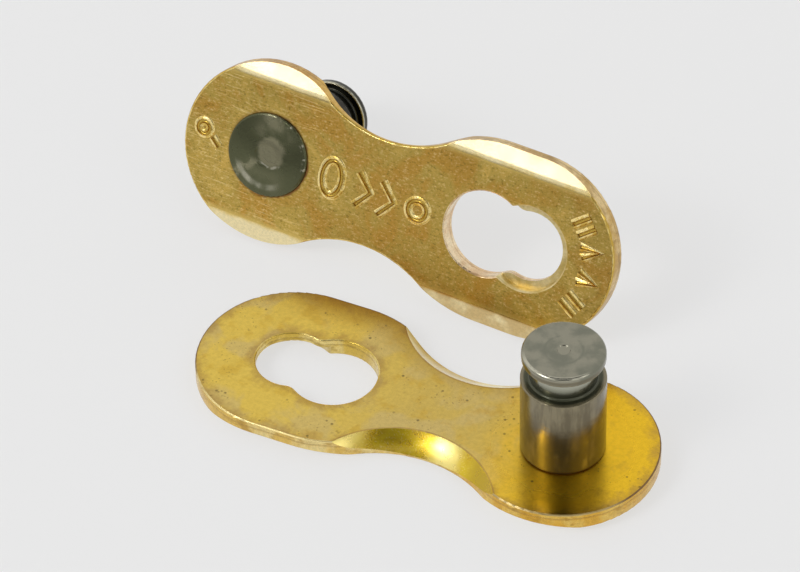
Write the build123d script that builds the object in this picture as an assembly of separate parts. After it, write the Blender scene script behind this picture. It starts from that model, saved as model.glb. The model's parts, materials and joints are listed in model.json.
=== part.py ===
"""Two-piece connecting link of a bicycle chain, its halves resting apart on one surface.

Each half is a waisted plate with a pin riveted into one end and a keyhole through the
other. To close the link the halves face each other, each pin head goes through the
other half's keyhole entry, and a pull on the chain draws the necks into the seats.
One half lies on its outer face with its pin up. The other stands on the long edge of
its plate and on the rim of its pin head. Millimetres, +Z up, origin on the surface
under the middle of the pair.
"""

import os
from math import asin, atan, atan2, degrees, hypot

from build123d import *

# Plate outline
pitch = 12.7  # 1/2 inch, pin axis to seat axis
plate_height = 8.36
plate_thickness = 0.85
waist_position = 5.3  # pin axis to the narrowest section
waist_height = 5.14
straight_edge = 1.85  # straight run at the keyhole end, from the seat axis to the waist
inner_edge_round = 0.06
outer_edge_round = 0.10

# Flats pressed along the long edges of the outer face
bevel_width = 0.88
bevel_drop = 0.26

# Coves pressed into the inner face at the waist, for the sprocket teeth to slip past
cove_width = 0.87  # from the waist edge, at the narrowest section
cove_rim_radius = 4.35
cove_profile_radius = 3.0
cove_land = 0.15  # plate thickness left at the waist edge

# Pin
pin_radius = 1.83
pin_base_round = 0.05
shoulder_height = 4.05  # length of the bearing surface for the inner link
shoulder_round = 0.06
neck_radius = 1.42
neck_round = 0.12
neck_play = 0.25  # neck length beyond one plate thickness, so that a squeezed link unlocks
head_radius = 1.79
head_thickness = 0.47
head_top_round = 0.18
head_base_round = 0.10
centre_mark_radius = 0.26
centre_mark_depth = 0.03

# Riveted end of the pin
tenon_radius = 1.55  # through the plate, so that the pin stands on the inner face
rivet_radius = 1.95
rivet_taper = 0.04  # of the radius, from the plate to the crown
rivet_rise = 0.25
rivet_seat_depth = 0.30  # countersink in the plate
rivet_crown_radius = 0.66
rivet_crown_drop = 0.13
rivet_crown_blend = 2.0
rivet_edge_round = 0.10
dimple_radius = 0.52
dimple_depth = 0.02

# Keyhole
entry_clearance = 0.15  # on the head's radius
seat_clearance = 0.16  # on the neck's radius
recess_clearance = 0.15  # on the head's radius
ledge_thickness = 0.39  # what the head pulls against in the locked link
entry_offset = 1.98  # from the seat axis towards the pin
keyhole_edge_round = 0.07
seat_cusp_round = 0.6  # where the entry runs into the seat
recess_cusp_round = 0.15

# How the pair rests
pair_gap = 1.65  # clear distance between the two plates
pair_shift = 4.88  # standing pin axis beyond the lying half's seat axis
standing_yaw = -3.66

# Worked out from the sizes above
half_height = plate_height / 2
half_waist = waist_height / 2
cut_margin = 1.0
neck_length = plate_thickness + neck_play
head_base = shoulder_height + neck_length
pin_end = head_base + head_thickness
entry_radius = head_radius + entry_clearance
seat_radius = neck_radius + seat_clearance
recess_radius = head_radius + recess_clearance
recess_depth = plate_thickness - ledge_thickness


def polar_point(centre, target, radius):
    """Point at a distance from centre, on the line to target."""
    direction = (Vector(*target) - Vector(*centre)).normalized()
    return Vector(*centre) + direction * radius


def plate_outline():
    """Face of the plate: round pin end, waist, straight flanks and round keyhole end."""
    edge_to_waist = half_height - half_waist

    # The waist arc touches the circle of the pin end
    waist_radius = (waist_position**2 + half_waist**2 - half_height**2) / (2 * edge_to_waist)
    waist_centre = (waist_position, half_waist + waist_radius)

    # The shoulder arc runs from the waist arc into the straight flank
    shoulder_x = pitch - straight_edge
    rise = waist_centre[1] - half_height
    run = shoulder_x - waist_position
    shoulder_radius = (run**2 + rise**2 - waist_radius**2) / (2 * edge_to_waist)
    shoulder_centre = (shoulder_x, half_height - shoulder_radius)

    lobe_to_waist = polar_point((0, 0), waist_centre, half_height)
    waist_to_shoulder = polar_point(waist_centre, shoulder_centre, waist_radius)
    shoulder_middle = (waist_to_shoulder + Vector(shoulder_x, half_height)) / 2

    with BuildSketch() as sketch:
        with BuildLine():
            ThreePointArc(
                (-half_height, 0),
                polar_point((0, 0), Vector(-half_height, 0) + lobe_to_waist, half_height),
                lobe_to_waist,
            )
            ThreePointArc(lobe_to_waist, (waist_position, half_waist), waist_to_shoulder)
            ThreePointArc(
                waist_to_shoulder,
                polar_point(shoulder_centre, shoulder_middle, shoulder_radius),
                (shoulder_x, half_height),
            )
            Line((shoulder_x, half_height), (pitch, half_height))
            ThreePointArc(
                (pitch, half_height),
                polar_point((pitch, 0), (pitch + half_height, half_height), half_height),
                (pitch + half_height, 0),
            )
            mirror(about=Plane.XZ)
        make_face()
    return sketch.sketch


def bevel_cutters():
    """Wedges that take the flats off the outer face's long edges."""
    flat_edge = half_height - bevel_width
    reach = bevel_width + cut_margin
    drop = bevel_drop * reach / bevel_width
    with BuildPart() as wedge:
        with BuildSketch(Plane.YZ.offset(-half_height - cut_margin)):
            with BuildLine():
                Polyline(
                    (flat_edge, -plate_thickness),
                    (flat_edge + reach, -plate_thickness),
                    (flat_edge + reach, -plate_thickness + drop),
                    close=True,
                )
            make_face()
        extrude(amount=pitch + 2 * (half_height + cut_margin))
    return [wedge.part, mirror(wedge.part, about=Plane.XZ)]


def cove_cutters():
    """Shallow dishes that take the coves out of the inner face at the waist."""
    depth = plate_thickness - cove_land
    waist_edge = (cove_rim_radius - cove_width, -depth)
    rim = (cove_rim_radius, 0)
    with BuildPart() as dish:
        with BuildSketch(Plane.XZ):
            with BuildLine():
                Line((0, -depth), waist_edge)
                RadiusArc(waist_edge, rim, -cove_profile_radius)
                Polyline(rim, (cove_rim_radius, cut_margin), (0, cut_margin), (0, -depth))
            make_face()
        revolve(axis=Axis.Z)
    centre_y = half_waist - cove_width + cove_rim_radius
    return [Pos(waist_position, side * centre_y) * dish.part for side in (1, -1)]


def slot_cutter(end_radius, cusp_round, height):
    """Entry hole run into a round end on the seat axis, with blunt cusps."""
    upright = (Align.CENTER, Align.CENTER, Align.MIN)
    entry = Pos(pitch - entry_offset, 0, 0) * Cylinder(entry_radius, height, align=upright)
    slot = entry + Pos(pitch, 0, 0) * Cylinder(end_radius, height, align=upright)
    cusps = slot.edges().filter_by(Axis.Z).filter_by(lambda edge: abs(edge.center().Y) > cusp_round)
    return Pos(0, 0, -plate_thickness - cut_margin) * fillet(cusps, cusp_round)


def keyhole_cutter():
    """Keyhole through the plate, widened in the outer face for the pin head."""
    through = slot_cutter(seat_radius, seat_cusp_round, plate_thickness + 2 * cut_margin)
    return through + slot_cutter(recess_radius, recess_cusp_round, recess_depth + cut_margin)


def link_plate():
    """Waisted side plate, inner face on Z = 0 and pin hole on the Z axis."""
    blank = extrude(plate_outline(), -plate_thickness)
    blank = fillet(blank.edges().group_by(Axis.Z)[-1], inner_edge_round)
    blank = fillet(blank.edges().group_by(Axis.Z)[0], outer_edge_round)
    blank = blank - bevel_cutters() - cove_cutters()

    plate = blank - keyhole_cutter()
    faces = plate.faces().filter_by(GeomType.PLANE).filter_by(Axis.Z)
    inner_rim = ShapeList(faces.sort_by(Axis.Z)[-1].inner_wires()).edges()
    outer_rim = ShapeList(faces.sort_by(Axis.Z)[0].inner_wires()).edges()
    plate = fillet(inner_rim + outer_rim, keyhole_edge_round)

    hole = Cylinder(tenon_radius, 2 * plate_thickness + cut_margin)
    seat = Pos(0, 0, -plate_thickness) * Cone(
        rivet_radius, tenon_radius, rivet_seat_depth, align=(Align.CENTER, Align.CENTER, Align.MIN)
    )
    return plate - hole - seat


def link_pin():
    """Pin on the Z axis: rivet, tenon, bearing surface, neck and head."""
    rivet_face = -plate_thickness - rivet_rise
    dimple_floor = rivet_face + dimple_depth
    mark_floor = pin_end - centre_mark_depth
    corners = [  # radius, height, rounding
        (0, dimple_floor, 0),
        (dimple_radius, dimple_floor, 0),
        (dimple_radius + dimple_depth, rivet_face, 0),
        (rivet_crown_radius, rivet_face, rivet_crown_blend),
        (rivet_radius - rivet_taper, rivet_face + rivet_crown_drop, rivet_edge_round),
        (rivet_radius, -plate_thickness, 0),
        (tenon_radius, -plate_thickness + rivet_seat_depth, 0),
        (tenon_radius, 0, 0),
        (pin_radius, 0, pin_base_round),
        (pin_radius, shoulder_height, shoulder_round),
        (neck_radius, shoulder_height, neck_round),
        (neck_radius, head_base, neck_round),
        (head_radius, head_base, head_base_round),
        (head_radius, pin_end, head_top_round),
        (centre_mark_radius + centre_mark_depth, pin_end, 0),
        (centre_mark_radius, mark_floor, 0),
        (0, mark_floor, 0),
    ]
    points = [(radius, height) for radius, height, _ in corners]
    roundings = [rounding for _, _, rounding in corners]
    with BuildPart() as pin:
        with BuildSketch(Plane.XZ):
            with BuildLine():
                FilletPolyline(*points, radius=roundings, close=True)
            make_face()
        revolve(axis=Axis.Z)
    return pin.part


def lying_tilt():
    """Tilt of a half that rests on its rivet head and on the tip of its keyhole end."""
    return degrees(atan(rivet_rise / (pitch + half_height - outer_edge_round - rivet_crown_radius)))


def standing_lean():
    """Lean of a half that stands on its plate's inner edge and on its head's rim."""
    across = (half_height - inner_edge_round) - (head_radius - head_top_round)
    along = (pin_end - head_top_round) + inner_edge_round
    rounding = asin((head_top_round - inner_edge_round) / hypot(across, along))
    return degrees(atan2(across, along) - rounding)


def rested(pieces, rotation):
    """Turn the pieces together and lower them until they touch Z = 0."""
    turned = [rotation * piece for piece in pieces]
    lowest = min(piece.bounding_box().min.Z for piece in turned)
    return [Pos(0, 0, -lowest) * piece for piece in turned]


def main():
    half = [link_plate(), link_pin()]
    lying = rested(half, Rot(0, 0, 180) * Rot(0, lying_tilt(), 0))
    standing = rested(half, Rot(0, 0, standing_yaw) * Rot(-90 - standing_lean(), 0, 0))

    front = min(piece.bounding_box().min.Y for piece in standing)
    behind = Pos(-pitch - pair_shift, half_height + pair_gap - front, 0)
    standing = [behind * piece for piece in standing]

    names = ["lying_plate", "lying_pin", "standing_plate", "standing_pin"]
    middle = Compound(lying + standing).bounding_box().center()
    to_origin = Pos(-middle.X, -middle.Y, 0)
    os.makedirs("parts", exist_ok=True)
    for name, piece in zip(names, lying + standing):
        placed = to_origin * piece
        placed.label = name
        export_step(placed, f"parts/{name}.step")


main()
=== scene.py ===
import json
import math

import bpy
from mathutils import Euler, Matrix, Vector


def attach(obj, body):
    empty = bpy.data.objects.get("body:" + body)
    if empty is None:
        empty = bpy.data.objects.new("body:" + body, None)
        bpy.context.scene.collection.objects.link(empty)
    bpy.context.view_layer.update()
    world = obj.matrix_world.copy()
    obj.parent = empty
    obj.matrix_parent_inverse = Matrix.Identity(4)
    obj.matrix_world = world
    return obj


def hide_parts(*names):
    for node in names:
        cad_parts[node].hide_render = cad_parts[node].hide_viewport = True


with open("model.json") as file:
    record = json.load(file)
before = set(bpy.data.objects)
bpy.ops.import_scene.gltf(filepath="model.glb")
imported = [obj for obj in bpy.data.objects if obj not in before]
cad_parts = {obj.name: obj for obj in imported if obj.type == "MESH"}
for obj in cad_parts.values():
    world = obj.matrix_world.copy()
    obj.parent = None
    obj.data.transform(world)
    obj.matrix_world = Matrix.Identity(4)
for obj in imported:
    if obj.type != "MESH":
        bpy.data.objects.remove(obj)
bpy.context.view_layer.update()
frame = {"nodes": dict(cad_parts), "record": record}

record = frame["record"]
millimetre = 0.001
print("frame loaded:", ", ".join(sorted(frame["nodes"])))


# Small helpers for objects

def makeActive(thing):
    bpy.ops.object.select_all(action="DESELECT")
    thing.select_set(True)
    bpy.context.view_layer.objects.active = thing


def applyModifiers(thing):
    makeActive(thing)
    for modifier in list(thing.modifiers):
        bpy.ops.object.modifier_apply(modifier=modifier.name)


def halfFrame(half):
    # Own frame of one half: pin axis is Z, inner face is Z = 0, keyhole is along +X
    mounts = {mount["name"]: mount for mount in record["mounts"]}
    bearing = mounts[half + "_pin_bearing"]
    axisZ = Vector(bearing["axis"]).normalized()
    origin = Vector(bearing["pos_m"]) - axisZ * bearing["dims"]["length_mm"] * millimetre / 2
    axisX = Vector(mounts[half + "_seat"]["pos_m"]) - origin
    axisX = (axisX - axisZ * axisX.dot(axisZ)).normalized()
    axisY = axisZ.cross(axisX)
    turn = Matrix((axisX, axisY, axisZ)).transposed()
    return Matrix.Translation(origin) @ turn.to_4x4()


# The camera looks down on the pair from the side of the lying half
cameraSettings = {
    "place": (62.852, -140.652, 153.986),  # mm
    "tilt": 45.423,  # degrees from straight down
    "roll": -0.108,
    "turn": 24.47,
    "lens": 224.17,
    "sensorWidth": 36.0,
}


def addCamera(settings):
    bpy.ops.object.camera_add(location=[value * millimetre for value in settings["place"]])
    camera = bpy.context.object
    camera.name = "studioCamera"
    turn = Euler((0, 0, math.radians(settings["turn"]))).to_matrix()
    tilt = Euler((math.radians(settings["tilt"]), 0, 0)).to_matrix()
    roll = Euler((0, 0, math.radians(settings["roll"]))).to_matrix()
    camera.rotation_euler = (turn @ tilt @ roll).to_euler()
    camera.data.lens = settings["lens"]
    camera.data.sensor_width = settings["sensorWidth"]
    camera.data.clip_start = 0.01
    bpy.context.scene.camera = camera


addCamera(cameraSettings)
print("camera set")


# Small helpers for materials

def newMaterial(name):
    material = bpy.data.materials.new(name)
    material.use_nodes = True
    material.node_tree.nodes.clear()
    return material


def addNode(material, kind, **inputs):
    node = material.node_tree.nodes.new(kind)
    for name, value in inputs.items():
        node.inputs[name].default_value = value
    return node


def join(material, output, target):
    material.node_tree.links.new(output, target)


def feed(material, value, socket):
    if isinstance(value, (int, float)):
        socket.default_value = value
    elif isinstance(value, tuple):
        socket.default_value = (*value, 1) if len(socket.default_value) == 4 else value
    else:
        join(material, value, socket)


def addMath(material, operation, *values):
    node = material.node_tree.nodes.new("ShaderNodeMath")
    node.operation = operation
    for place, value in enumerate(values):
        feed(material, value, node.inputs[place])
    return node.outputs[0]


def multiply(material, *values):
    product = values[0]
    for value in values[1:]:
        product = addMath(material, "MULTIPLY", product, value)
    return product


def scaleAdd(material, value, factor, shift):
    return addMath(material, "MULTIPLY_ADD", value, factor, shift)


def between(material, factor, limits):
    # The first limit where the factor is 0, and the second where it is 1
    low, high = limits
    return scaleAdd(material, factor, high - low, low)


def addRamp(material, factor, stops):
    node = material.node_tree.nodes.new("ShaderNodeValToRGB")
    elements = node.color_ramp.elements
    while len(elements) < len(stops):
        elements.new(0.5)
    for element, (position, colour) in zip(elements, stops):
        element.position = position
        if isinstance(colour, (int, float)):
            colour = (colour, colour, colour)
        element.color = (*colour, 1)
    join(material, factor, node.inputs["Fac"])
    return node.outputs["Color"]


def addStep(material, value, start, end):
    # 0 up to start, 1 from end on, and smooth between; start may be the larger one
    node = addNode(material, "ShaderNodeMapRange")
    node.interpolation_type = "SMOOTHSTEP"
    node.inputs["From Min"].default_value = min(start, end)
    node.inputs["From Max"].default_value = max(start, end)
    node.inputs["To Min"].default_value = 0.0 if start < end else 1.0
    node.inputs["To Max"].default_value = 1.0 if start < end else 0.0
    join(material, value, node.inputs["Value"])
    return node.outputs["Result"]


def addBand(material, value, start, end, soft):
    # 1 between start and end, and 0 outside
    rise = addStep(material, value, start - soft, start + soft)
    fall = addStep(material, value, end + soft, end - soft)
    return multiply(material, rise, fall)


def addMix(material, factor, first, second, blend="MIX"):
    node = material.node_tree.nodes.new("ShaderNodeMix")
    node.data_type = "RGBA"
    node.blend_type = blend
    for socket, value in ((node.inputs[0], factor), (node.inputs[6], first), (node.inputs[7], second)):
        feed(material, value, socket)
    return node.outputs[2]


def ownCoordinates(material, place):
    # Object coordinates turned into one half's own frame, in millimetres
    coordinates = addNode(material, "ShaderNodeTexCoord")
    mapping = addNode(material, "ShaderNodeMapping")
    mapping.vector_type = "TEXTURE"
    mapping.inputs["Location"].default_value = place.to_translation()
    mapping.inputs["Rotation"].default_value = place.to_euler()
    mapping.inputs["Scale"].default_value = (millimetre, millimetre, millimetre)
    join(material, coordinates.outputs["Object"], mapping.inputs["Vector"])
    return mapping.outputs["Vector"]


def splitAxes(material, vector):
    node = addNode(material, "ShaderNodeSeparateXYZ")
    join(material, vector, node.inputs[0])
    return node.outputs


def startMaterial(name, place):
    # A new material, its coordinates, and these apart as named values
    material = newMaterial(name)
    own = ownCoordinates(material, place)
    x, y, z = splitAxes(material, own)
    return material, own, {"x": x, "y": y, "z": z}


def stretched(material, vector, scale, turn=0.0, shift=(0, 0, 0)):
    mapping = addNode(material, "ShaderNodeMapping", Location=shift, Scale=scale)
    mapping.inputs["Rotation"].default_value = (0, 0, math.radians(turn))
    join(material, vector, mapping.inputs["Vector"])
    return mapping.outputs["Vector"]


def lengthOf(material, first, second):
    flat = material.node_tree.nodes.new("ShaderNodeCombineXYZ")
    feed(material, first, flat.inputs[0])
    feed(material, second, flat.inputs[1])
    node = material.node_tree.nodes.new("ShaderNodeVectorMath")
    node.operation = "LENGTH"
    join(material, flat.outputs[0], node.inputs[0])
    return node.outputs["Value"]


def axisDistance(material, own, middleX, middleY, bothSides=False):
    # Distance from an axis that stands on the plate; bothSides takes the nearer of two, at Y and at -Y
    x, y, z = splitAxes(material, own)
    if bothSides:
        y = addMath(material, "ABSOLUTE", y)
    fromX = addMath(material, "SUBTRACT", x, middleX)
    fromY = addMath(material, "SUBTRACT", y, middleY)
    return lengthOf(material, fromX, fromY)


def outlineDistance(material, own):
    # How far a point of the face lies inside the plate's outline
    x, y, z = splitAxes(material, own)
    beyondSeat = addMath(material, "SUBTRACT", x, plateSizes["keyholeEnd"])
    beyondSeat = addMath(material, "MAXIMUM", beyondSeat, 0.0)
    beforePin = addMath(material, "MINIMUM", x, 0.0)
    fromMiddle = lengthOf(material, addMath(material, "ADD", beyondSeat, beforePin), y)
    toFlank = addMath(material, "SUBTRACT", plateSizes["halfHeight"], fromMiddle)
    fromWaist = axisDistance(material, own, plateSizes["waist"], plateSizes["waistMiddle"], bothSides=True)
    toWaist = addMath(material, "SUBTRACT", fromWaist, plateSizes["waistRadius"])
    return addMath(material, "MINIMUM", toFlank, toWaist)


def addNoise(material, vector, scale, detail=2.0, roughness=0.5, distortion=0.0):
    node = addNode(
        material, "ShaderNodeTexNoise", Scale=scale, Detail=detail, Roughness=roughness, Distortion=distortion
    )
    join(material, vector, node.inputs["Vector"])
    return node.outputs["Fac"]


def addDots(material, vector, scale, radius):
    # Small round spots, one in each cell
    node = addNode(material, "ShaderNodeTexVoronoi", Scale=scale)
    join(material, vector, node.inputs["Vector"])
    return addStep(material, node.outputs["Distance"], radius, radius * 0.4)


def addMask(material, values, factors):
    # Product of its factors: a number, a named value, or a step or a soft band over a named value
    product = []
    for factor in factors:
        if isinstance(factor, tuple):
            name, start, end, *soft = factor
            addShape = addBand if soft else addStep
            factor = addShape(material, values[name], start, end, *soft)
        elif isinstance(factor, str):
            factor = values[factor]
        product.append(factor)
    return multiply(material, *product)


def addTones(material, factor, gold):
    # Through a finish's tones, from one place of the factor to the next
    return addRamp(material, factor, [(position, gold[colour]) for position, colour in gold["tones"]])


def addLayers(material, tone, values, colours, layers):
    # Colours laid over a tone in turn, each by the largest of its masks
    for colour, *masks in layers:
        largest, *others = [addMask(material, values, factors) for factors in masks]
        for other in others:
            largest = addMath(material, "MAXIMUM", largest, other)
        tone = addMix(material, largest, tone, colours[colour])
    return tone


def addMottle(material, tone, grain, mottle):
    # Darker where the grain is low: below which value, how dark, and how much of it
    low, shade, amount = mottle
    shades = addRamp(material, grain, [(low, shade), (0.60, 1.0)])
    return addMix(material, amount, tone, shades, "MULTIPLY")


def addBump(material, height, distance, normal=None):
    node = addNode(material, "ShaderNodeBump", Strength=1.0, Distance=distance)
    join(material, height, node.inputs["Height"])
    if normal is not None:
        join(material, normal, node.inputs["Normal"])
    return node.outputs["Normal"]


def addSwells(material, own, grain, gold):
    # Low swells of pressed metal with the grain on them
    swells = addNoise(material, own, 0.55, detail=1)
    normal = addBump(material, swells, gold["swellDepth"])
    return addBump(material, grain, gold["grainDepth"], normal)


def finishMaterial(material, surface, output="ShaderNodeOutputMaterial"):
    node = addNode(material, output)
    join(material, surface, node.inputs["Surface"])
    return material


def metalShader(material, colour, roughness, normal, metallic=1.0, oil=0.0, oilRoughness=0.17):
    # Oil is a thin clear film, which shows the lamps white
    shader = addNode(material, "ShaderNodeBsdfPrincipled")
    shader.inputs["Coat Weight"].default_value = oil
    shader.inputs["Coat Roughness"].default_value = oilRoughness
    feed(material, metallic, shader.inputs["Metallic"])
    feed(material, colour, shader.inputs["Base Color"])
    feed(material, roughness, shader.inputs["Roughness"])
    join(material, normal, shader.inputs["Normal"])
    return finishMaterial(material, shader.outputs["BSDF"])


# Sizes of a plate in its half's own frame, mm
plateSizes = {
    "thickness": 0.85,
    "halfHeight": 4.18,
    "rivetRadius": 1.95,
    "keyholeEnd": 12.7,  # middle of the seat, where the neck locks
    "seatRadius": 1.58,
    "entryMiddle": 10.72,
    "entryRadius": 1.94,
    "keyholeReach": 2.02,  # from either middle, with the rounded edges
    "ledgeDepth": 0.46,
    "waist": 5.3,
    "waistMiddle": 7.919,  # of the circle that the waist's edge follows
    "waistRadius": 5.349,
    "coveMiddle": 6.05,
    "coveDish": 4.35,
    "flatStart": 3.30,
    "flatSoftness": 0.24,
    "rimRound": 0.065,
    "smoothAngle": 34,  # degrees
}

# Each finish has colours, and layers that lay them over its first tone. In a layer's mask a name stands with
# where its value counts as nil and where as full, or with a band's edges and how soft they are. A lone number
# is how much of the layer there is. Places are mm in the half's own frame.

# Gold of the inner faces: deeper round the pin, paler towards the keyhole
innerGold = {
    "middle": (0.72, 0.515, 0.125),
    "keyholeEnd": (0.86, 0.61, 0.115),
    "haze": (0.70, 0.535, 0.215),
    "pinEnd": (0.97, 0.60, 0.032),
    "ochre": (0.66, 0.40, 0.040),
    "flank": (0.50, 0.32, 0.055),
    "stain": (0.42, 0.25, 0.075),
    "pit": (0.14, 0.10, 0.03),
    "layers": [
        ("keyholeEnd", [("along", 6.5, 11.5)]),
        ("haze", [("hazes", 0.46, 0.62), 0.60]),
        ("pinEnd", [("along", 4.2, -0.4)]),
        ("ochre", [("blooms", 0.52, 0.66), 0.42]),
        # Browner along one long edge
        ("flank", [("inside", 1.8, 0.1), ("y", -0.3, -1.7), ("x", 1.5, 4.5), ("x", 15.0, 13.0), 0.75]),
        # Stain that creeps in from the edges, and a thin dark line along the coves' rims, which is painted
        # shade
        ("stain", [("fromEdge", -0.22, -0.95), 0.60]),
        ("stain", [("fromCove", 0.10, 0.04), "coveLine"]),
    ],
    "pitLayers": [("pit", ["pits", ("clusters", 0.47, 0.60), "ragged", 0.70])],
    "wander": (-2.0, 2.0),  # mm along the plate, for the colours of both ends
    "creep": -1.7,  # how far noise draws the stain in, mm
    "coveLineAmount": 0.7,
    "mottle": (0.36, 0.40, 0.20),
    "pits": (2.3, 0.20),  # cells to a millimetre, and radius in a cell
    "smallPits": (5.0, 0.24),
    "smallPitAmount": 0.6,
    "grainDepth": 0.0000009,
    "roughness": (0.14, 0.26),
    "rubbedPlace": (4.4, 2.4),
    "rubbedRoughness": 0.10,
}


def innerFaceMaterial(name, place):
    gold, sizes = innerGold, plateSizes
    material, own, values = startMaterial(name, place)
    clouds = addNoise(material, own, 0.42, detail=3, roughness=0.55, distortion=0.8)
    values["along"] = addMath(material, "ADD", values["x"], between(material, clouds, gold["wander"]))
    shifted = stretched(material, own, (1, 1, 1), shift=(7, 3, 0))
    values["hazes"] = addNoise(material, shifted, 0.50, detail=4, distortion=0.6)
    values["blooms"] = addNoise(material, own, 0.85, detail=4, roughness=0.6)
    values["inside"] = outlineDistance(material, own)
    # From the nearest edge of the keyhole or the plate, drawn in by noise
    toSeat = axisDistance(material, own, sizes["keyholeEnd"], 0)
    toEntry = axisDistance(material, own, sizes["entryMiddle"], 0)
    fromSeat = addMath(material, "SUBTRACT", toSeat, sizes["seatRadius"])
    fromEntry = addMath(material, "SUBTRACT", toEntry, sizes["entryRadius"])
    fromKeyhole = addMath(material, "MINIMUM", fromSeat, fromEntry)
    nearest = addMath(material, "MINIMUM", fromKeyhole, values["inside"])
    creep = addNoise(material, own, 1.3, detail=4, roughness=0.65)
    values["fromEdge"] = scaleAdd(material, creep, gold["creep"], nearest)
    toDish = axisDistance(material, own, sizes["waist"], sizes["coveMiddle"], bothSides=True)
    values["fromCove"] = addMath(material, "SUBTRACT", toDish, sizes["coveDish"])
    values["coveLine"] = addMath(material, "MINIMUM", creep, gold["coveLineAmount"])
    tone = addLayers(material, gold["middle"], values, gold, gold["layers"])
    # Mottle and pits
    grain = addNoise(material, own, 5.0, detail=5, roughness=0.7)
    tone = addMottle(material, tone, grain, gold["mottle"])
    pits = addDots(material, own, *gold["pits"])
    smallPits = multiply(material, addDots(material, own, *gold["smallPits"]), gold["smallPitAmount"])
    values["pits"] = addMath(material, "MAXIMUM", pits, smallPits)
    values["clusters"] = addNoise(material, own, 0.55, detail=2)
    values["ragged"] = scaleAdd(material, grain, 0.5, 0.75)
    tone = addLayers(material, tone, values, gold, gold["pitLayers"])
    normal = addBump(material, grain, gold["grainDepth"])
    # Duller where the chain rubs round the pin
    rough = between(material, values["hazes"], gold["roughness"])
    rubbed = addStep(material, axisDistance(material, own, 0, 0), *gold["rubbedPlace"])
    rough = scaleAdd(material, rubbed, gold["rubbedRoughness"], rough)
    return metalShader(material, tone, rough, normal)


# Gold of the outer faces: duller, with short drawing marks along the plate
outerGold = {
    "olive": (0.635, 0.440, 0.100),
    "ochre": (0.665, 0.380, 0.072),
    "light": (0.82, 0.55, 0.13),
    "glint": (0.98, 0.78, 0.34),
    "dark": (0.22, 0.14, 0.03),
    "worn": (0.84, 0.62, 0.19),
    "rust": (0.22, 0.08, 0.035),
    "tones": [(0.38, "ochre"), (0.50, "olive"), (0.66, "light")],
    "layers": [
        # Darker towards the keyhole end
        ("dark", [("x", 12.0, 16.0), 0.18]),
        # Short marks and long scratches
        ("glint", [("marks", 0.53, 0.61), 0.70]),
        ("dark", [("marks", 0.47, 0.39), 0.62]),
        ("glint", ["scratches", 0.62]),
        # Paler beside the creases: a painted highlight that carries the flats' highlight onto the face
        ("worn", [("aside", 3.04, 3.32), 0.75]),
        # Rust and dirt where the plate meets the rivet, more of it on the side of the waist
        ("rust", [("fromRivet", -0.04, -0.15), "rustAmount"]),
    ],
    "scratches": [("lines", 0.60, 0.65), ("x", 3.5, 1.0)],
    "brownerPlace": (1.5, 9.0),
    "brownerShift": -0.07,
    "markShare": 0.55,  # the rest of the marks is speckle
    "creep": -0.30,  # how far noise draws the rust in, mm
    "rustSide": (-1.2, 1.2),
    "rustAmount": (0.40, 0.85),
    "grainDepth": 0.0000034,
    "scratchDepth": 0.0000040,
    "roughness": (0.24, 0.36),
}


def outerFaceMaterial(name, place):
    gold = outerGold
    material, own, values = startMaterial(name, place)
    clouds = addNoise(material, own, 0.40, detail=4, roughness=0.6, distortion=0.8)
    # Browner from the waist on
    browner = addStep(material, values["x"], *gold["brownerPlace"])
    shifted = scaleAdd(material, browner, gold["brownerShift"], clouds)
    tone = addTones(material, shifted, gold)
    # Marks drawn out along the plate, over a fine speckle
    drawn = stretched(material, own, (3.6, 9.5, 3.6), turn=4)
    marks = addNoise(material, drawn, 1.0, detail=4, roughness=0.8)
    speckle = addNoise(material, own, 10.0, detail=3, roughness=0.75)
    marks = multiply(material, marks, gold["markShare"])
    values["marks"] = addMath(material, "ADD", marks, multiply(material, speckle, 1 - gold["markShare"]))
    # Long scratches near the pin
    warped = addMix(material, 0.06, own, addNoise(material, own, 0.5), "ADD")
    scratched = stretched(material, warped, (0.35, 10.0, 1.0), turn=1)
    values["lines"] = addNoise(material, scratched, 1.5, detail=3, roughness=0.75)
    values["scratches"] = addMask(material, values, gold["scratches"])
    values["aside"] = addMath(material, "ABSOLUTE", values["y"])
    fromRivet = addMath(material, "SUBTRACT", axisDistance(material, own, 0, 0), plateSizes["rivetRadius"])
    creep = addNoise(material, own, 1.8, detail=4)
    values["fromRivet"] = scaleAdd(material, creep, gold["creep"], fromRivet)
    onSide = addStep(material, values["x"], *gold["rustSide"])
    values["rustAmount"] = between(material, onSide, gold["rustAmount"])
    tone = addLayers(material, tone, values, gold, gold["layers"])
    normal = addBump(material, values["marks"], gold["grainDepth"])
    normal = addBump(material, values["scratches"], gold["scratchDepth"], normal)
    return metalShader(material, tone, between(material, clouds, gold["roughness"]), normal)


# Gold of the flats along the lobes: pale in the middle of each as a painted highlight, deeper towards its
# crease and its ends
flatGold = {
    "deep": (0.84, 0.62, 0.19),
    "light": (0.97, 0.83, 0.48),
    "dull": (0.70, 0.51, 0.23),
    "layers": [
        # Painted highlight in each flat's middle
        ("light", [("fromCrease", -0.08, 0.20), ("toEnd", 1.05, 0.75)]),
        # Duller on one side of the keyhole
        ("dull", [("y", -1.0, 1.0), ("x", 5.0, 9.5), ("patches", 0.76, 0.42), 0.95]),
    ],
    "lobes": [(0.0, 2.6), (11.63, 3.63)],  # middle and half length along the plate
    "uneven": (-0.25, 0.25),  # how far patches move the crease, in mm, and the ends
    "mottle": (0.40, 0.4, 0.15),
    "grainDepth": 0.0000016,
    "swellDepth": 0.000050,
    "roughness": (0.18, 0.27),
}


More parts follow.
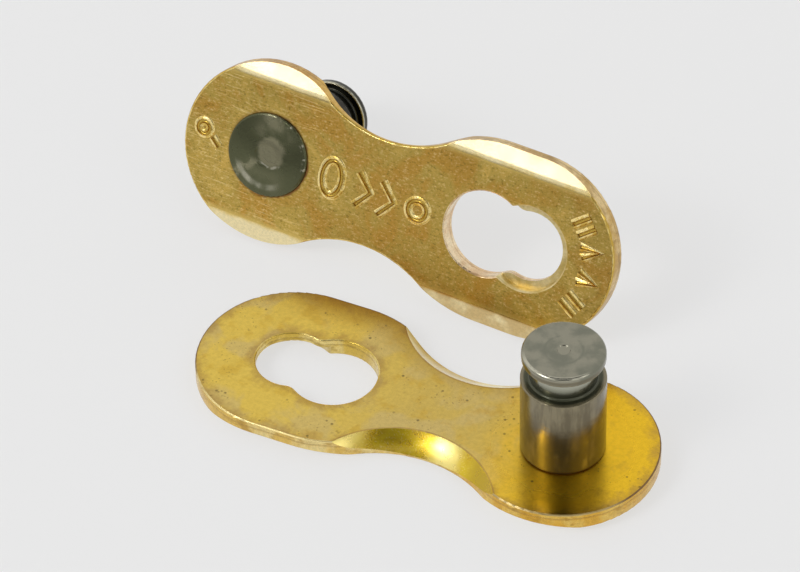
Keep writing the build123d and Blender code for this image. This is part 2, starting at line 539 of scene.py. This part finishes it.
def flatMaterial(name, place):
    gold = flatGold
    material, own, values = startMaterial(name, place)
    values["patches"] = addNoise(material, own, 0.9, detail=3, roughness=0.6)
    uneven = between(material, values["patches"], gold["uneven"])
    # Shares of a lobe's half length from its middle
    toEnds = []
    for middle, halfLength in gold["lobes"]:
        away = addMath(material, "ABSOLUTE", addMath(material, "SUBTRACT", values["x"], middle))
        toEnds.append(multiply(material, away, 1 / halfLength))
    values["toEnd"] = addMath(material, "ADD", addMath(material, "MINIMUM", *toEnds), uneven)
    aside = addMath(material, "ABSOLUTE", values["y"])
    fromCrease = addMath(material, "SUBTRACT", aside, plateSizes["flatStart"])
    values["fromCrease"] = addMath(material, "ADD", fromCrease, uneven)
    tone = addLayers(material, gold["deep"], values, gold, gold["layers"])
    grain = addNoise(material, own, 8.0, detail=3, roughness=0.65)
    tone = addMottle(material, tone, grain, gold["mottle"])
    normal = addSwells(material, own, grain, gold)
    return metalShader(material, tone, between(material, values["patches"], gold["roughness"]), normal)


# Gold of the coves: deep, with a painted highlight that makes them pale beside the waist and at the tip
coveGold = {
    "deep": (0.66, 0.42, 0.002),
    "light": (0.78, 0.56, 0.010),
    "pinEnd": (0.58, 0.39, 0.001),
    "worn": (0.97, 0.80, 0.25),
    "tones": [(0.36, "deep"), (0.62, "light")],
    "layers": [
        ("pinEnd", [("x", 3.6, 2.6)]),
        (
            "worn",
            # Painted highlight beside the waist, at the tip, and as fine glinting flecks beyond the pin's end
            [("fromWaist", 1.3, 0.5)],
            [("x", 7.7, 8.6), 0.8],
            [("grain", 0.56, 0.66), ("x", 2.9, 3.6), 0.5],
        ),
    ],
    # Middle of the painted highlight along the plate, mm
    "waist": 4.40,
    "waistUneven": 0.6,
    "grainDepth": 0.0000030,
    "swellDepth": 0.000010,
    "roughness": (0.24, 0.32),
}


def coveMaterial(name, place):
    gold = coveGold
    material, own, values = startMaterial(name, place)
    patches = addNoise(material, own, 1.6, detail=3, roughness=0.6)
    values["grain"] = addNoise(material, own, 13.0, detail=3, roughness=0.65)
    away = addMath(material, "ABSOLUTE", addMath(material, "SUBTRACT", values["x"], gold["waist"]))
    values["fromWaist"] = scaleAdd(material, patches, gold["waistUneven"], away)
    tone = addTones(material, patches, gold)
    tone = addLayers(material, tone, values, gold, gold["layers"])
    normal = addSwells(material, own, values["grain"], gold)
    return metalShader(material, tone, between(material, patches, gold["roughness"]), normal, oil=1.0)


# Gold of the ledge under the narrow end of the keyhole
ledgeGold = {
    "deep": (0.70, 0.52, 0.17),
    "light": (0.90, 0.75, 0.40),
    "tones": [(0.36, "deep"), (0.62, "light")],
    "mottle": (0.40, 0.4, 0.18),
    "grainDepth": 0.0000024,
    "swellDepth": 0.000020,
    "roughness": (0.30, 0.42),
}


def ledgeMaterial(name, place):
    gold = ledgeGold
    material, own, _ = startMaterial(name, place)
    patches = addNoise(material, own, 1.4, detail=3, roughness=0.6)
    grain = addNoise(material, own, 8.0, detail=3, roughness=0.65)
    tone = addTones(material, patches, gold)
    tone = addMottle(material, tone, grain, gold["mottle"])
    normal = addSwells(material, own, grain, gold)
    return metalShader(material, tone, between(material, patches, gold["roughness"]), normal)


# Gold of the pressed marks: pale on their ridges, partly wear and partly a painted highlight, and deeper in
# the grooves, a painted shade
markGold = {
    "ridge": (0.98, 0.78, 0.33),
    "dull": (0.72, 0.50, 0.12),
    "groove": (0.60, 0.40, 0.075),
    "layers": [("dull", [("wear", 0.56, 0.42)]), ("groove", [("depth", 0.02, 0.07)])],
    "grooveUneven": 0.05,
    "grainDepth": 0.0000100,
    "roughness": 0.27,
}


def markMaterial(name, place):
    gold = markGold
    material, own, values = startMaterial(name, place)
    grain = addNoise(material, own, 5.0, detail=3, roughness=0.65)
    depth = addMath(material, "ADD", values["z"], plateSizes["thickness"])
    values["depth"] = scaleAdd(material, grain, gold["grooveUneven"], depth)
    values["wear"] = addNoise(material, own, 2.6, detail=3, roughness=0.7)
    tone = addLayers(material, gold["ridge"], values, gold, gold["layers"])
    return metalShader(material, tone, gold["roughness"], addBump(material, grain, gold["grainDepth"]))


# Gold of the walls, where the punch sheared the upper part smooth and tore the rest
wallGold = {
    # The standing half's walls are a darker copy of the lying half's, a painted shade, and its holes a paler
    # copy, a painted highlight
    "lyingWall": {"bright": (0.93, 0.74, 0.32), "gold": (0.84, 0.57, 0.15), "bare": (0.55, 0.33, 0.08)},
    "lyingHole": {"bright": (0.93, 0.74, 0.28), "gold": (0.76, 0.53, 0.10), "bare": (0.52, 0.34, 0.06)},
    "standingWall": {"bright": (0.84, 0.63, 0.31), "gold": (0.62, 0.40, 0.13), "bare": (0.40, 0.25, 0.08)},
    "standingHole": {"bright": (1.0, 0.82, 0.54), "gold": (0.87, 0.61, 0.34), "bare": (0.64, 0.40, 0.19)},
    "layers": [
        ("bright", [("patches", 0.42, 0.60)]),
        ("bare", [("stains", 0.52, 0.66), 0.70]),
        # Bare metal just below the line where the wall tears
        ("bare", [("depth", -0.32, -0.22, 0.03), 0.40]),
    ],
    "tear": (-0.22, -0.25),  # mm from the inner face
    "tearWaver": 0.20,
    "tearDepth": 0.000016,
    "pinEnd": (0.93, 0.80, 0.46),  # multiplies the others from the waist to the pin
    "pinEndPlace": (8.0, 1.5),
    "mottle": (0.38, 0.35, 0.22),
    "swellDepth": 0.000020,
    "grainDepth": 0.0000030,
    "roughness": (0.20, 0.34),
}


def wallMaterial(name, place, colours):
    gold = wallGold
    material, own, values = startMaterial(name, place)
    waver = addMath(material, "SUBTRACT", addNoise(material, own, 1.1, detail=2), 0.5)
    values["depth"] = scaleAdd(material, waver, gold["tearWaver"], values["z"])
    # Coordinates drawn out through the plate's thickness, and squeezed
    drawn = stretched(material, own, (1.0, 1.0, 0.6))
    squeezed = stretched(material, own, (1.0, 1.0, 1.8), shift=(5, 0, 0))
    values["patches"] = addNoise(material, drawn, 0.7, detail=4, roughness=0.6)
    values["stains"] = addNoise(material, squeezed, 1.1, detail=4, roughness=0.65)
    tone = addLayers(material, colours["gold"], values, colours, gold["layers"])
    atPin = addStep(material, values["x"], *gold["pinEndPlace"])
    tone = addMix(material, atPin, tone, gold["pinEnd"], "MULTIPLY")
    grain = addNoise(material, drawn, 6.0, detail=4, roughness=0.7)
    tone = addMottle(material, tone, grain, gold["mottle"])
    torn = addStep(material, values["depth"], *gold["tear"])
    normal = addBump(material, torn, -gold["tearDepth"])
    normal = addBump(material, values["patches"], gold["swellDepth"], normal)
    normal = addBump(material, grain, gold["grainDepth"], normal)
    return metalShader(material, tone, between(material, values["stains"], gold["roughness"]), normal)


# Rim round the inner face: dark, with a painted highlight along one long edge
rimGold = {
    "stained": (0.24, 0.14, 0.06),
    "worn": (0.96, 0.77, 0.34),
    "layers": [("worn", [("across", 1.4, 3.4), "amount"])],
    "acrossWander": (-1.5, 1.5),
    "alongWander": (-3.0, 3.0),
    "beyondPin": (2.0, 6.0),
    "wornAmount": (0.45, 1.0),  # at the pin and beyond it
    "grainDepth": 0.0000020,
    "roughness": 0.32,
}


def rimMaterial(name, place):
    gold = rimGold
    material, own, values = startMaterial(name, place)
    breaks = addNoise(material, own, 1.4, detail=4, roughness=0.65)
    values["across"] = addMath(material, "ADD", values["y"], between(material, breaks, gold["acrossWander"]))
    along = addMath(material, "ADD", values["x"], between(material, breaks, gold["alongWander"]))
    beyondPin = addStep(material, along, *gold["beyondPin"])
    values["amount"] = between(material, beyondPin, gold["wornAmount"])
    tone = addLayers(material, gold["stained"], values, gold, gold["layers"])
    normal = addBump(material, addNoise(material, own, 6.0, detail=3), gold["grainDepth"])
    return metalShader(material, tone, gold["roughness"], normal)


# Marks pressed into the outer face, mm in the half's own frame
pressedMarks = {
    # Half width and half depth of a rounded bar, and how far its middle lies above the face
    "groove": (0.100, 0.088, 0.014),
    "ridge": (0.240, 0.072, -0.012),  # wider, so that it stays on each side of the groove
    "rings": [  # x, y, half sizes
        (-3.25, -0.20, 0.29, 0.29),
        (3.20, -0.02, 0.48, 0.82),
        (7.45, 0.05, 0.45, 0.45),
    ],
    "bars": [((-2.78, 0.10), (-2.40, 0.46))],
    "chevrons": [(4.80, 0.05, 0.34, 0.80), (5.95, 0.10, 0.34, 0.80)],  # x, y, half width, half height
    "arcRadius": 3.10,  # round the seat
    "arcBars": (-38.4, 32.9),  # degrees from the plate's length
    "arcChevrons": (-16.6, 7.9),
    "arcHalfWidth": 0.27,
    "arcHalfHeight": 0.46,
    "ringSteps": 40,
}


def markStrokes(marks):
    # Each stroke is its points and whether it is closed
    strokes = []
    steps = marks["ringSteps"]
    turns = [2 * math.pi * step / steps for step in range(steps)]
    for x, y, halfWide, halfTall in marks["rings"]:
        ring = [(x + halfWide * math.cos(turn), y + halfTall * math.sin(turn)) for turn in turns]
        strokes.append((ring, True))
    for bar in marks["bars"]:
        strokes.append((list(bar), False))
    for x, y, halfWide, halfTall in marks["chevrons"]:
        chevron = [(x - halfWide, y + halfTall), (x + halfWide, y), (x - halfWide, y - halfTall)]
        strokes.append((chevron, False))
    wide, tall = marks["arcHalfWidth"], marks["arcHalfHeight"]
    onArc = [(angle, [[(-tall, side), (tall, side)] for side in (-wide, wide)]) for angle in marks["arcBars"]]
    onArc += [(angle, [[(-tall, -wide), (tall, 0), (-tall, wide)]]) for angle in marks["arcChevrons"]]
    for angle, lines in onArc:
        angle = math.radians(angle)
        for line in lines:
            points = []
            for out, aside in line:
                reach = marks["arcRadius"] + out
                x = plateSizes["keyholeEnd"] + reach * math.cos(angle) - aside * math.sin(angle)
                points.append((x, reach * math.sin(angle) + aside * math.cos(angle)))
            strokes.append((points, False))
    return strokes


def addStrokes(place, marks, halfWidth, halfDepth, height):
    # A flattened round bar along every stroke, with its middle at a height of the half's own frame
    curve = bpy.data.curves.new("markStrokes", "CURVE")
    curve.dimensions = "3D"
    curve.bevel_depth = halfWidth
    curve.bevel_resolution = 6
    curve.use_fill_caps = True
    for points, closed in markStrokes(marks):
        spline = curve.splines.new("POLY")
        spline.points.add(len(points) - 1)
        for point, (x, y) in zip(spline.points, points):
            point.co = (x, y, 0, 1)
        spline.use_cyclic_u = closed
    strokes = bpy.data.objects.new("markStrokes", curve)
    bpy.context.scene.collection.objects.link(strokes)
    flatten = Matrix.Diagonal((millimetre, millimetre, millimetre * halfDepth / halfWidth, 1))
    strokes.matrix_world = place @ Matrix.Translation((0, 0, height * millimetre)) @ flatten
    makeActive(strokes)
    bpy.ops.object.convert(target="MESH")
    return bpy.context.object


# Points this close are one point, metres
weldDistance = 0.000001


def mergeDoubles(thing):
    makeActive(thing)
    bpy.ops.object.mode_set(mode="EDIT")
    bpy.ops.mesh.select_all(action="SELECT")
    bpy.ops.mesh.remove_doubles(threshold=weldDistance)
    bpy.ops.object.mode_set(mode="OBJECT")


def dropSlivers(thing):
    # A boolean's thin cuts leave faces that lie back to back or hang by nothing
    mergeDoubles(thing)
    bpy.ops.object.mode_set(mode="EDIT")
    bpy.ops.mesh.select_mode(type="FACE")
    bpy.ops.mesh.select_all(action="SELECT")
    bpy.ops.mesh.dissolve_degenerate(threshold=weldDistance)
    bpy.ops.mesh.quads_convert_to_tris()
    bpy.ops.mesh.select_all(action="DESELECT")
    bpy.ops.object.mode_set(mode="OBJECT")
    sameCorners, uses = {}, {}
    for face in thing.data.polygons:
        sameCorners.setdefault(frozenset(face.vertices), []).append(face)
        for edge in face.edge_keys:
            uses[edge] = uses.get(edge, 0) + 1
    for face in thing.data.polygons:
        hanging = all(uses[edge] != 2 for edge in face.edge_keys)
        face.select = hanging or len(sameCorners[frozenset(face.vertices)]) > 1
    bpy.ops.object.mode_set(mode="EDIT")
    bpy.ops.mesh.delete(type="ONLY_FACE")
    bpy.ops.mesh.select_all(action="SELECT")
    bpy.ops.mesh.delete_loose()
    bpy.ops.object.mode_set(mode="OBJECT")


def mergedCopy(node, name):
    piece = bpy.data.objects.new(name, frame["nodes"][node].data.copy())
    bpy.context.scene.collection.objects.link(piece)
    makeActive(piece)
    bpy.ops.mesh.customdata_custom_splitnormals_clear()
    mergeDoubles(piece)
    return piece


def softenFlats(plate, place):
    # A line beside each crease, so that smooth shading turns from the face to the flat before it
    makeActive(plate)
    bpy.ops.object.mode_set(mode="EDIT")
    turn = place.to_3x3()
    across = plateSizes["flatStart"] + plateSizes["flatSoftness"]
    for side in (-across, across):
        point = place @ (Vector((0, side, 0)) * millimetre)
        bpy.ops.mesh.select_all(action="SELECT")
        bpy.ops.mesh.bisect(plane_co=point, plane_no=turn @ Vector((0, 1, 0)))
    bpy.ops.object.mode_set(mode="OBJECT")


def pressMarks(plate, place, marks, raised):
    # Metal pushed up into ridges first, then the grooves between them
    operations = [("UNION", marks["ridge"])] if raised else []
    operations.append(("DIFFERENCE", marks["groove"]))
    for operation, (halfWidth, halfDepth, above) in operations:
        strokes = addStrokes(place, marks, halfWidth, halfDepth, -plateSizes["thickness"] - above)
        makeActive(plate)
        press = plate.modifiers.new("press", "BOOLEAN")
        press.object = strokes
        press.operation = operation
        press.solver = "EXACT"
        applyModifiers(plate)
        bpy.data.objects.remove(strokes)
        dropSlivers(plate)


# How faces are told apart: by parts of their normals, and by mm from a plane or an edge
zoneLimits = {
    "levelNormal": 0.999,
    "near": 0.01,
    "ledgeHeight": 0.1,
    "coveNormal": 0.3,
    "coveRim": 0.001,
    "flatNormal": (-0.97, -0.95),
    "flatSkew": 0.02,
    "markNormal": -0.2,
    "markDepth": 0.08,
}


def plateZone(middle, normal):
    # Which finish a face of the plate has, from its place and normal in the half's own frame
    sizes, limits = plateSizes, zoneLimits
    aside = abs(middle.y)
    aboveOuter = middle.z + sizes["thickness"]
    toSeat = math.hypot(middle.x - sizes["keyholeEnd"], middle.y)
    toEntry = math.hypot(middle.x - sizes["entryMiddle"], middle.y)
    toDish = math.hypot(middle.x - sizes["waist"], aside - sizes["coveMiddle"])
    if normal.z > limits["levelNormal"] and middle.z > -limits["near"]:
        return "inner"
    if normal.z < -limits["levelNormal"] and aboveOuter < limits["near"]:
        return "outer"
    if min(toSeat, toEntry) < sizes["keyholeReach"]:
        onLedge = toSeat < sizes["keyholeReach"] and middle.z < limits["ledgeHeight"] - sizes["ledgeDepth"]
        return "ledge" if onLedge else "hole"
    if normal.z > limits["coveNormal"] and toDish < sizes["coveDish"] + limits["coveRim"]:
        return "cove"
    lowest, highest = limits["flatNormal"]
    sloped = lowest < normal.z < highest and abs(normal.x) < limits["flatSkew"]
    if sloped and aside > sizes["flatStart"] - limits["near"]:
        return "flat"
    if normal.z < limits["markNormal"] and aside < sizes["flatStart"] and aboveOuter < limits["markDepth"]:
        return "mark"
    if middle.z > -sizes["rimRound"]:
        return "rim"
    return "wall"


def shadePlate(plate, zones):
    # Smooth between the pieces of a curve and across the creases of the flats, sharp round the plain faces
    makeActive(plate)
    bpy.ops.object.shade_smooth_by_angle(angle=math.radians(plateSizes["smoothAngle"]))
    sides = {}
    for face in plate.data.polygons:
        for edge in face.edge_keys:
            sides.setdefault(edge, set()).add(zones[face.material_index])
    for edge in plate.data.edges:
        met = sides[edge.key]
        if len(met) > 1 and met & {"inner", "outer", "flat"} and met != {"outer", "flat"}:
            edge.use_edge_sharp = True
    weighted = plate.modifiers.new("evenShading", "WEIGHTED_NORMAL")
    weighted.keep_sharp = True
    applyModifiers(plate)


def addPlate(half, raised):
    place = halfFrame(half)
    plate = mergedCopy(half + "_plate", half + "PlateDressed")
    softenFlats(plate, place)
    pressMarks(plate, place, pressedMarks, raised)
    finishes = {
        "inner": innerFaceMaterial(half + "InnerFace", place),
        "outer": outerFaceMaterial(half + "OuterFace", place),
        "flat": flatMaterial(half + "Flat", place),
        "cove": coveMaterial(half + "Cove", place),
        "ledge": ledgeMaterial(half + "Ledge", place),
        "mark": markMaterial(half + "Mark", place),
        "rim": rimMaterial(half + "Rim", place),
        "wall": wallMaterial(half + "Wall", place, wallGold[half + "Wall"]),
        "hole": wallMaterial(half + "Hole", place, wallGold[half + "Hole"]),
    }
    plate.data.materials.clear()
    zones = list(finishes)
    for zone in zones:
        plate.data.materials.append(finishes[zone])
    toOwn = place.inverted()
    turnToOwn = toOwn.to_3x3()
    for face in plate.data.polygons:
        middle = toOwn @ face.center / millimetre
        face.material_index = zones.index(plateZone(middle, turnToOwn @ face.normal))
    shadePlate(plate, zones)
    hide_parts(half + "_plate")
    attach(plate, "root")


# Steel of the pins; the standing one is much darker, a painted shade, except on its riveted end
pinSteels = {
    "lying": {
        "body": (0.27, 0.235, 0.155),
        "bodyDark": (0.17, 0.145, 0.095),
        "film": (0.135, 0.117, 0.069),
        "base": (0.045, 0.018, 0.010),
        "neck": (0.41, 0.41, 0.33),
        "neckDark": (0.080, 0.082, 0.052),
        "head": (0.32, 0.305, 0.235),
        "headDark": (0.22, 0.22, 0.17),
        "rimWorn": (0.56, 0.54, 0.43),
        "rivet": (0.130, 0.135, 0.080),
        "rivetFlat": (0.28, 0.265, 0.175),
        "scuff": (0.45, 0.43, 0.33),
        "roughness": (0.13, 0.24),
        "filmRoughness": 0.04,
    },
    "standing": {
        "body": (0.07, 0.062, 0.045),
        "bodyDark": (0.03, 0.027, 0.02),
        "film": (0.05, 0.045, 0.035),
        "base": (0.03, 0.012, 0.01),
        "neck": (0.05, 0.05, 0.04),
        "neckDark": (0.02, 0.02, 0.015),
        "head": (0.14, 0.14, 0.12),
        "headDark": (0.05, 0.05, 0.04),
        "rimWorn": (0.30, 0.29, 0.25),
        "rivet": (0.116, 0.121, 0.066),
        "rivetFlat": (0.295, 0.278, 0.176),
        "scuff": (0.50, 0.48, 0.37),
        "roughness": (0.22, 0.32),
        "filmRoughness": 0.0,
    },
}

# Masks of a pin. Z is mm along it from the plate's inner face, with the shoulder at 4.05 and the head's base
# at 5.15. Outward is mm from its axis.
pinMasks = {
    "film": [("z", 2.7, 1.2), ("z", -0.4, -0.2)],  # grease, and painted shade towards the plate, on the lower part of the bearing surface
    "corner": [("z", 4.03, 4.07), ("z", 4.60, 4.25)],  # grease where the neck leaves the shoulder
    # Side of the rivet's rim that gets a painted highlight
    "scuffedSide": [("y", 0.5, 1.2), ("x", 1.0, 0.0)],
    "onNeck": [("z", 4.00, 4.04)],
    "onHead": [("z", 5.13, 5.17)],
    "onRivet": [("z", -0.4, -0.5)],
}

# Layers over each part of a pin
bodyLayers = [
    ("body", [("smears", 0.38, 0.62)]),
    ("bodyDark", [("streaks", 0.50, 0.36), 0.45]),
    # Painted shade and grease: darker on the lower part
    ("film", ["film", ("smears", 0.74, 0.50), 0.95]),
    # Dark reddish brown where it meets the plate
    ("base", [("z", 0.17, 0.03), ("z", -0.4, -0.2)]),
]
neckLayers = [
    # Painted shade in the lower corner, a paler upper part as a painted reflection, and the body's tone again
    # on the shoulder's rim
    ("neck", [("z", 4.20, 4.85)]),
    ("body", [("outward", 1.62, 1.74), ("z", 4.15, 4.05)]),
]
headLayers = [
    ("head", [("clouds", 0.36, 0.62)]),
    # A broken ring, a paler centre, and a painted shade on the side
    ("headDark", [("outward", 0.76, 0.86, 0.05), ("clouds", 0.64, 0.50), 0.85]),
    ("head", [("outward", 0.35, 0.23)]),
    ("bodyDark", [("z", 5.25, 5.43, 0.04), 0.75]),
    # A painted highlight on the rim's near side and along the lower edge
    ("rimWorn", [("outward", 1.64, 1.755, 0.03), ("y", 0.6, 1.3), ("z", 5.47, 5.53)]),
    ("scuff", [("z", 5.25, 5.20), ("outward", 1.66, 1.74)]),
]
rivetLayers = [
    (
        "rivetFlat",
        # The flat, a smear on each side of it, and one that slants from it to the rim
        [("fromFlat", 1.20, 0.94)],
        [("y", 0.20, 1.00), ("x", -0.95, 0.95, 0.4), ("clouds", 0.36, 0.58), 0.17],
        [("y", -0.60, -1.15), ("x", -0.60, 1.00, 0.4), ("clouds", 0.36, 0.58), 0.75],
        [("slanting", -0.45, 0.20, 0.22), ("y", 0.15, 0.45), ("ragged", 0.40, 0.55), 0.72],
    ),
    # Painted highlights on one side of the rim, and painted glints on the other and at the flat's edge
    ("scuff", [("outward", 1.35, 1.60, 0.08), "scuffedSide", ("clouds", 0.30, 0.52), 0.80]),
    (
        "scuff",
        [("outward", 1.74, 1.90, 0.04), ("x", 0.1, 0.7), ("y", 0.6, 0.0), ("specks", 0.58, 0.63), 0.8],
        [("fromFlat", 1.06, 1.16, 0.03), ("y", 0.20, 0.35), ("ragged", 0.44, 0.52), 0.8],
    ),
]
pinSurface = {
    "flatMiddle": (0.20, -0.20),
    "flatUneven": 0.40,  # how far noise draws it in, mm
    "turnedDepth": 0.0000040,
    "dentDepth": 0.0000120,
    "grainDepth": 0.0000022,
    "filmGrease": 0.14,  # how much less metallic
    "cornerGrease": 0.42,
}


def pinTone(material, own, values, steel):
    # Smears and streaks along the bearing surface
    smeared = stretched(material, own, (1.5, 1.5, 0.45))
    values["smears"] = addNoise(material, smeared, 1.2, detail=4, roughness=0.6)
    streaked = stretched(material, own, (5.0, 5.0, 0.5))
    values["streaks"] = addNoise(material, streaked, 1.2, detail=3, roughness=0.6)
    tone = addLayers(material, steel["bodyDark"], values, steel, bodyLayers)
    neck = addLayers(material, steel["neckDark"], values, steel, neckLayers)
    tone = addMix(material, values["onNeck"], tone, neck)
    values["clouds"] = addNoise(material, own, 0.9, detail=4, roughness=0.6)
    head = addLayers(material, steel["headDark"], values, steel, headLayers)
    tone = addMix(material, values["onHead"], tone, head)
    # A dark dome with a ragged, paler flat a little off its middle
    values["clouds"] = addNoise(material, own, 0.8, detail=4, roughness=0.5, distortion=0.2)
    values["ragged"] = addNoise(material, own, 2.6, detail=3, roughness=0.6)
    values["specks"] = addNoise(material, own, 4.5, detail=3)
    uneven = addMath(material, "ADD", values["clouds"], values["ragged"])
    fromFlat = axisDistance(material, own, *pinSurface["flatMiddle"])
    values["fromFlat"] = scaleAdd(material, uneven, pinSurface["flatUneven"], fromFlat)
    values["slanting"] = addMath(material, "ADD", values["x"], values["y"])
    rivet = addLayers(material, steel["rivet"], values, steel, rivetLayers)
    return addMix(material, values["onRivet"], tone, rivet)


def pinMaterial(name, place, steel):
    material, own, values = startMaterial(name, place)
    values["outward"] = axisDistance(material, own, 0, 0)
    for mask, factors in pinMasks.items():
        values[mask] = addMask(material, values, factors)
    tone = pinTone(material, own, values, steel)
    # Turning marks on the head, dents and a fine grain all over
    turning = addNode(material, "ShaderNodeTexNoise", Scale=9.0, Detail=2.0)
    turning.noise_dimensions = "1D"
    join(material, values["outward"], turning.inputs["W"])
    turned = multiply(material, turning.outputs["Fac"], values["onHead"])
    dents = addNoise(material, own, 1.2, detail=3, roughness=0.5)
    grain = addNoise(material, own, 8.0, detail=3, roughness=0.6)
    normal = addBump(material, turned, pinSurface["turnedDepth"])
    normal = addBump(material, dents, pinSurface["dentDepth"], normal)
    normal = addBump(material, grain, pinSurface["grainDepth"], normal)
    rough = between(material, dents, steel["roughness"])
    rough = scaleAdd(material, values["film"], steel["filmRoughness"], rough)
    onFilm = multiply(material, values["film"], pinSurface["filmGrease"])
    inCorner = multiply(material, values["corner"], pinSurface["cornerGrease"])
    grease = addMath(material, "MAXIMUM", onFilm, inCorner)
    metallic = addMath(material, "SUBTRACT", 1.0, grease)
    return metalShader(material, tone, rough, normal, metallic=metallic)


def finishPin(half):
    pin = frame["nodes"][half + "_pin"]
    pin.data.materials.clear()
    pin.data.materials.append(pinMaterial(half + "Pin", halfFrame(half), pinSteels[half]))


# The lying half rests on its outer face, so its marks have no ridges
for half, raised in (("lying", False), ("standing", True)):
    addPlate(half, raised)
    finishPin(half)
    print(half, "half finished")


# Plain pale floor and backdrop: one brightness for the eye and for reflections, another for their light
studio = {
    "background": 0.795,
    "floorColour": 0.25,
    "floorGlow": 0.625,
    "floorLight": 0.8,
    "skyStrength": 0.60,
    "floorSize": 3.0,
}
white = (1, 1, 1, 1)


def seenRays(material):
    # 1 for the camera and for reflections
    rays = addNode(material, "ShaderNodeLightPath")
    seen = addMath(material, "ADD", rays.outputs["Is Camera Ray"], rays.outputs["Is Glossy Ray"])
    return addMath(material, "ADD", seen, rays.outputs["Is Transmission Ray"])


def mixShaders(material, factor, first, second):
    mix = addNode(material, "ShaderNodeMixShader")
    for socket, output in zip(mix.inputs, (factor, first, second)):
        join(material, output, socket)
    return mix.outputs[0]


def addFloor(settings):
    bpy.ops.mesh.primitive_plane_add(size=settings["floorSize"], location=(0, 0, 0))
    floor = bpy.context.object
    floor.name = "floor"
    material = newMaterial("floorPaint")
    lit = addNode(material, "ShaderNodeBsdfDiffuse", Color=(*[settings["floorLight"]] * 3, 1))
    shaded = addNode(material, "ShaderNodeBsdfDiffuse", Color=(*[settings["floorColour"]] * 3, 1))
    glow = addNode(material, "ShaderNodeEmission", Color=white, Strength=settings["floorGlow"])
    both = addNode(material, "ShaderNodeAddShader")
    join(material, shaded.outputs[0], both.inputs[0])
    join(material, glow.outputs[0], both.inputs[1])
    surface = mixShaders(material, seenRays(material), lit.outputs[0], both.outputs[0])
    floor.data.materials.append(finishMaterial(material, surface))


def addSky(settings):
    world = bpy.data.worlds.new("studio")
    bpy.context.scene.world = world
    world.use_nodes = True
    world.node_tree.nodes.clear()
    light = addNode(world, "ShaderNodeBackground", Color=white, Strength=settings["skyStrength"])
    backdrop = addNode(world, "ShaderNodeBackground", Color=white, Strength=settings["background"])
    surface = mixShaders(world, seenRays(world), light.outputs[0], backdrop.outputs[0])
    finishMaterial(world, surface, output="ShaderNodeOutputWorld")


# Side is degrees to the right of the camera's own side of the object, height is degrees above the floor.
# Away and size are in metres.
lamps = {
    "keyLamp": {"side": -60, "height": 40, "away": 0.50, "size": (0.25, 0.25), "watts": 0.35},
}
softboxes = {
    "keyBox": {"side": -58, "height": 42, "away": 0.50, "size": (0.30, 0.32), "level": 5.0, "soft": 0.75},
    "keyCore": {"side": -58, "height": 42, "away": 0.49, "size": (0.15, 0.15), "level": 15.0, "soft": 1.0},
    "fillBox": {"side": 57, "height": 40, "away": 0.50, "size": (0.24, 0.24), "level": 2.0, "soft": 0.75},
    "frontCard": {"side": -48, "height": 2, "away": 0.60, "size": (0.80, 0.16), "level": 0.15, "soft": 0},
    "darkCard": {"side": -3, "height": 46, "away": 0.62, "size": (0.38, 0.40), "level": 0.12, "soft": 0},
    "topCard": {"side": 0, "height": 86, "away": 0.62, "size": (0.50, 0.30), "level": 0.12, "soft": 0},
}
lampTarget = Vector((0, 0, 0.003))


def standPlace(settings):
    # Place and turn of something that faces the object from a side and height
    side = math.radians(settings["side"] + cameraSettings["turn"] - 90)
    height = math.radians(settings["height"])
    outward = math.cos(height)
    toward = Vector((math.cos(side) * outward, math.sin(side) * outward, math.sin(height)))
    turn = toward.to_track_quat("Z", "Y").to_euler()
    return lampTarget + toward * settings["away"], turn


def addLamp(name, settings):
    place, turn = standPlace(settings)
    bpy.ops.object.light_add(type="AREA", location=place, rotation=turn)
    lamp = bpy.context.object
    lamp.name = name
    lamp.data.shape = "RECTANGLE"
    lamp.data.size, lamp.data.size_y = settings["size"]
    lamp.data.energy = settings["watts"]
    lamp.visible_camera = False
    lamp.visible_glossy = False


def addSoftbox(name, settings):
    # A glowing sheet, which fades towards its edges if it is soft; metal shows it, the camera doesn't
    place, turn = standPlace(settings)
    bpy.ops.mesh.primitive_plane_add(size=1, location=place, rotation=turn)
    sheet = bpy.context.object
    sheet.name = name
    sheet.scale = (*settings["size"], 1)
    material = newMaterial(name + "Paint")
    glow = addNode(material, "ShaderNodeEmission", Color=white, Strength=settings["level"])
    if settings["soft"]:
        coordinates = addNode(material, "ShaderNodeTexCoord")
        level = settings["level"]
        for axis in splitAxes(material, coordinates.outputs["Object"])[:2]:
            aside = multiply(material, addMath(material, "ABSOLUTE", axis), 2.0)
            level = multiply(material, level, addStep(material, aside, 1.0, 1.0 - settings["soft"]))
        join(material, level, glow.inputs["Strength"])
    sheet.data.materials.append(finishMaterial(material, glow.outputs[0]))
    sheet.visible_camera = False
    sheet.visible_shadow = False


addFloor(studio)
addSky(studio)
for name, settings in lamps.items():
    addLamp(name, settings)
for name, settings in softboxes.items():
    addSoftbox(name, settings)
bpy.context.scene.view_settings.view_transform = "Standard"
print("studio set")
